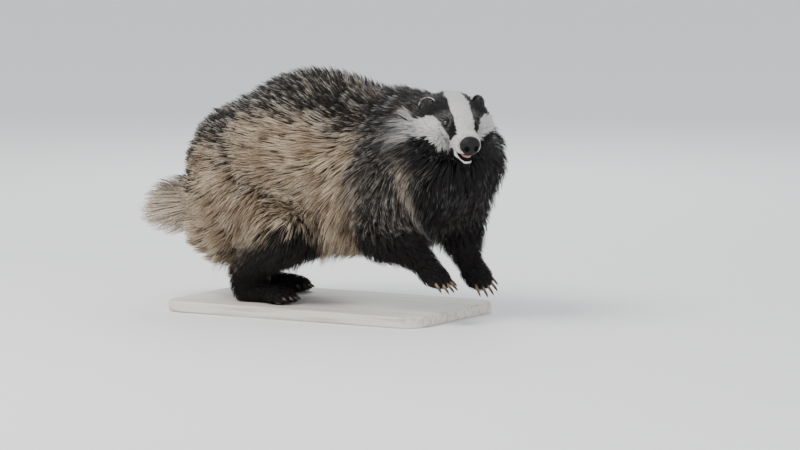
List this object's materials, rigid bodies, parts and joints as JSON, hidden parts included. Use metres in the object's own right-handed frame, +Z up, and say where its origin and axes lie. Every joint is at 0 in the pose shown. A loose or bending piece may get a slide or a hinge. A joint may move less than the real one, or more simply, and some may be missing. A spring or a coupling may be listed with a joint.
{
  "type": "european badger",
  "caption": "European badger in mid bound, life size: grizzled long coat, black and white striped face, standing by its hind feet on a flat display board.",
  "frame": {"origin": "middle of the display board's underside", "axes": "+X the way the badger heads, +Y its left side, +Z up"},
  "size_m": [0.6819, 0.2867, 0.3983],
  "materials": {
    "grizzled_coat": "long coarse grizzled hair, pale at the root with a dark band",
    "black_coat": "black hair, long on the limbs and short on the feet",
    "face_coat": "short white hair with two black stripes",
    "tail_coat": "long cream and tan hair",
    "claw_horn": "smooth horn, darker at the tip",
    "nose_skin": "bare black pebbled skin, a little wet",
    "mouth_skin": "moist pink skin",
    "eye": "wet and dark",
    "base_board": "limewashed ash, matt"
  },
  "bodies": {
    "root": {"stand_base": "base_board", "torso": "grizzled_coat", "neck": "grizzled_coat", "head": "face_coat", "jaw": "face_coat", "nose": "nose_skin", "tongue": "mouth_skin", "tail": "tail_coat", "ear_left": "black_coat", "eye_left": "eye", "upper_arm_left": "black_coat", "forearm_left": "black_coat", "forepaw_left": "black_coat", "thigh_left": "black_coat", "shank_left": "black_coat", "hindfoot_left": "black_coat", "claw_forepaw_left_1": "claw_horn", "claw_forepaw_left_2": "claw_horn", "claw_forepaw_left_3": "claw_horn", "claw_forepaw_left_4": "claw_horn", "claw_forepaw_left_5": "claw_horn", "claw_hindfoot_left_1": "claw_horn", "claw_hindfoot_left_2": "claw_horn", "claw_hindfoot_left_3": "claw_horn", "claw_hindfoot_left_4": "claw_horn", "claw_hindfoot_left_5": "claw_horn", "ear_right": "black_coat", "eye_right": "eye", "upper_arm_right": "black_coat", "forearm_right": "black_coat", "forepaw_right": "black_coat", "thigh_right": "black_coat", "shank_right": "black_coat", "hindfoot_right": "black_coat", "claw_forepaw_right_1": "claw_horn", "claw_forepaw_right_2": "claw_horn", "claw_forepaw_right_3": "claw_horn", "claw_forepaw_right_4": "claw_horn", "claw_forepaw_right_5": "claw_horn", "claw_hindfoot_right_1": "claw_horn", "claw_hindfoot_right_2": "claw_horn", "claw_hindfoot_right_3": "claw_horn", "claw_hindfoot_right_4": "claw_horn", "claw_hindfoot_right_5": "claw_horn"}
  },
  "joints": []
}
